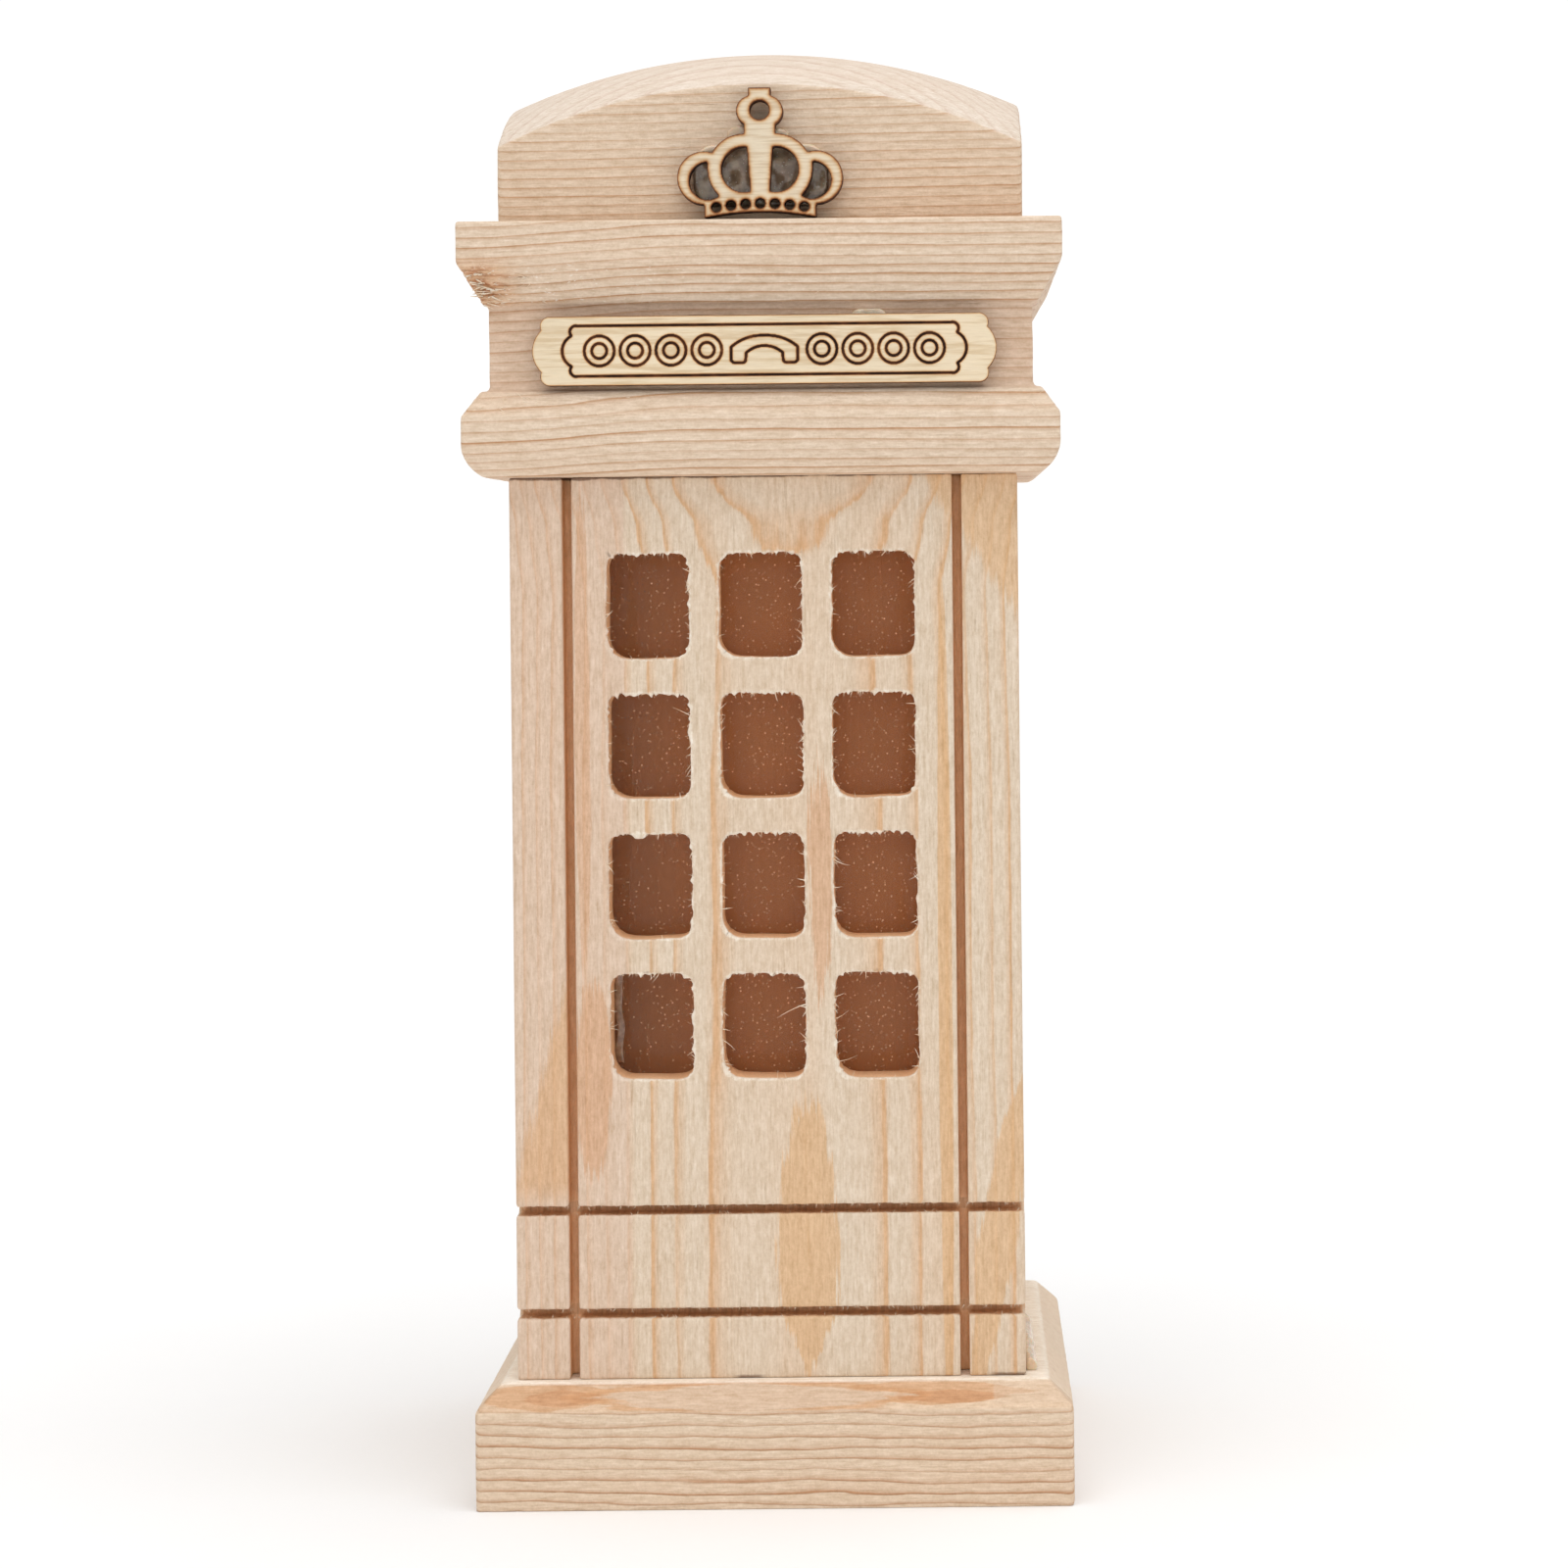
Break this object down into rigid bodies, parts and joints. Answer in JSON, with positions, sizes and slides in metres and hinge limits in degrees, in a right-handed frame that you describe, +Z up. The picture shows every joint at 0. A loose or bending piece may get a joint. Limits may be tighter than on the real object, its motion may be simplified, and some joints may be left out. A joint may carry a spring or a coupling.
{
  "type": "telephone booth money box",
  "caption": "Wooden money box shaped like a small telephone booth: windowed hollow column, moulded cornice, domed roof, plywood crown and sign plate, pull-out plug in the base.",
  "frame": {"origin": "bottom centre of the whole box, on the surface it stands on", "axes": "+Z up, the windows, crown and sign plate face -Y, +X to the right as seen from the front"},
  "size_m": [0.081, 0.081, 0.1984],
  "materials": {
    "pine_board": "raw, sanded",
    "pine_block": "raw, sanded",
    "pine_base": "raw, sanded",
    "plywood": "raw, laser cut",
    "clear_pane": "glossy, dusty",
    "clear_glue": "glossy, translucent",
    "steel_wire": "satin",
    "soft_plug": "matt, soft"
  },
  "bodies": {
    "booth": {"base_board": "pine_base", "front_panel": "pine_board", "left_side_panel": "pine_board", "right_side_panel": "pine_board", "back_panel": "pine_board", "window_pane": "clear_pane", "pane_glue_dabs": "clear_glue", "cornice_block": "pine_block", "roof_block": "pine_block", "crown": "plywood", "crown_glue": "clear_glue", "name_plate": "plywood", "plate_glue": "clear_glue", "column_glue_bead": "clear_glue", "base_brads": "steel_wire"},
    "plug": {"coin_plug": "soft_plug"}
  },
  "joints": [
    {"name": "plug_pull", "type": "slide", "parent": "booth", "child": "plug", "axis": [0, 0, -1], "range_m": [0, 0.02]}
  ]
}
